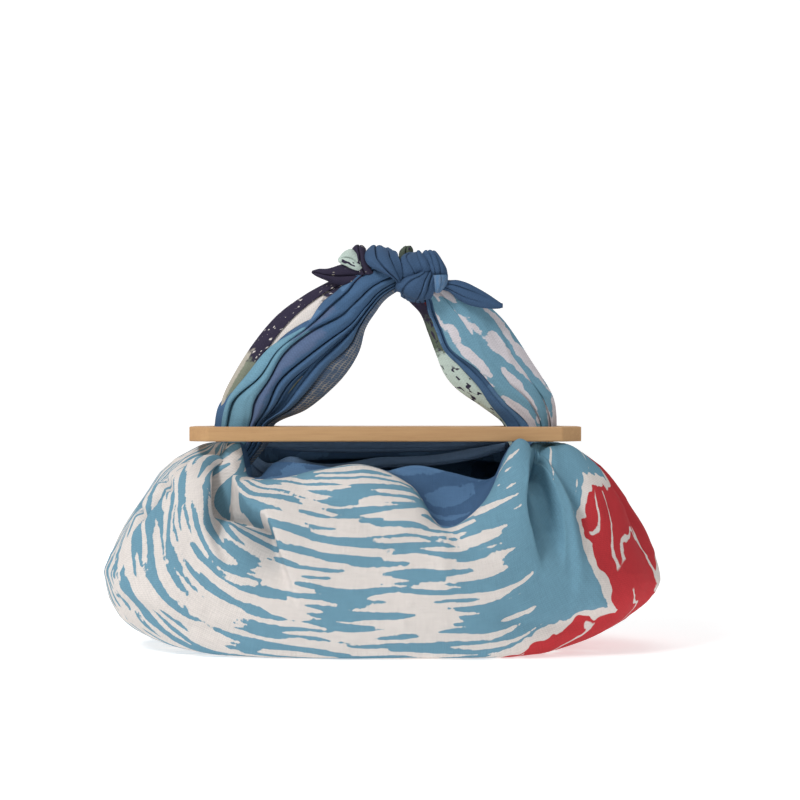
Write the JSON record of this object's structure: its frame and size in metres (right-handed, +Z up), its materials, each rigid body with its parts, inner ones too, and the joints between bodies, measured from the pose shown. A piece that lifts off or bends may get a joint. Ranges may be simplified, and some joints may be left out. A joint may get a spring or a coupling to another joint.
{
  "type": "furoshiki wrap bag with wooden carrying board",
  "caption": "Square printed cloth gathered through the holes of a wooden board and tied above it, forming a soft standing bag with a cloth handle.",
  "frame": {"origin": "centre of the flat base, on the surface that the bag stands on", "axes": "+Z up through the knot, +X along the board to the viewer's right, -Y towards the viewer"},
  "size_m": [0.442, 0.2127, 0.3214],
  "materials": {
    "cloth": "plain-weave printed cotton, matt",
    "board": "smooth pale beech, oiled"
  },
  "bodies": {
    "root": {"cloth": "cloth", "board": "board"}
  },
  "joints": []
}
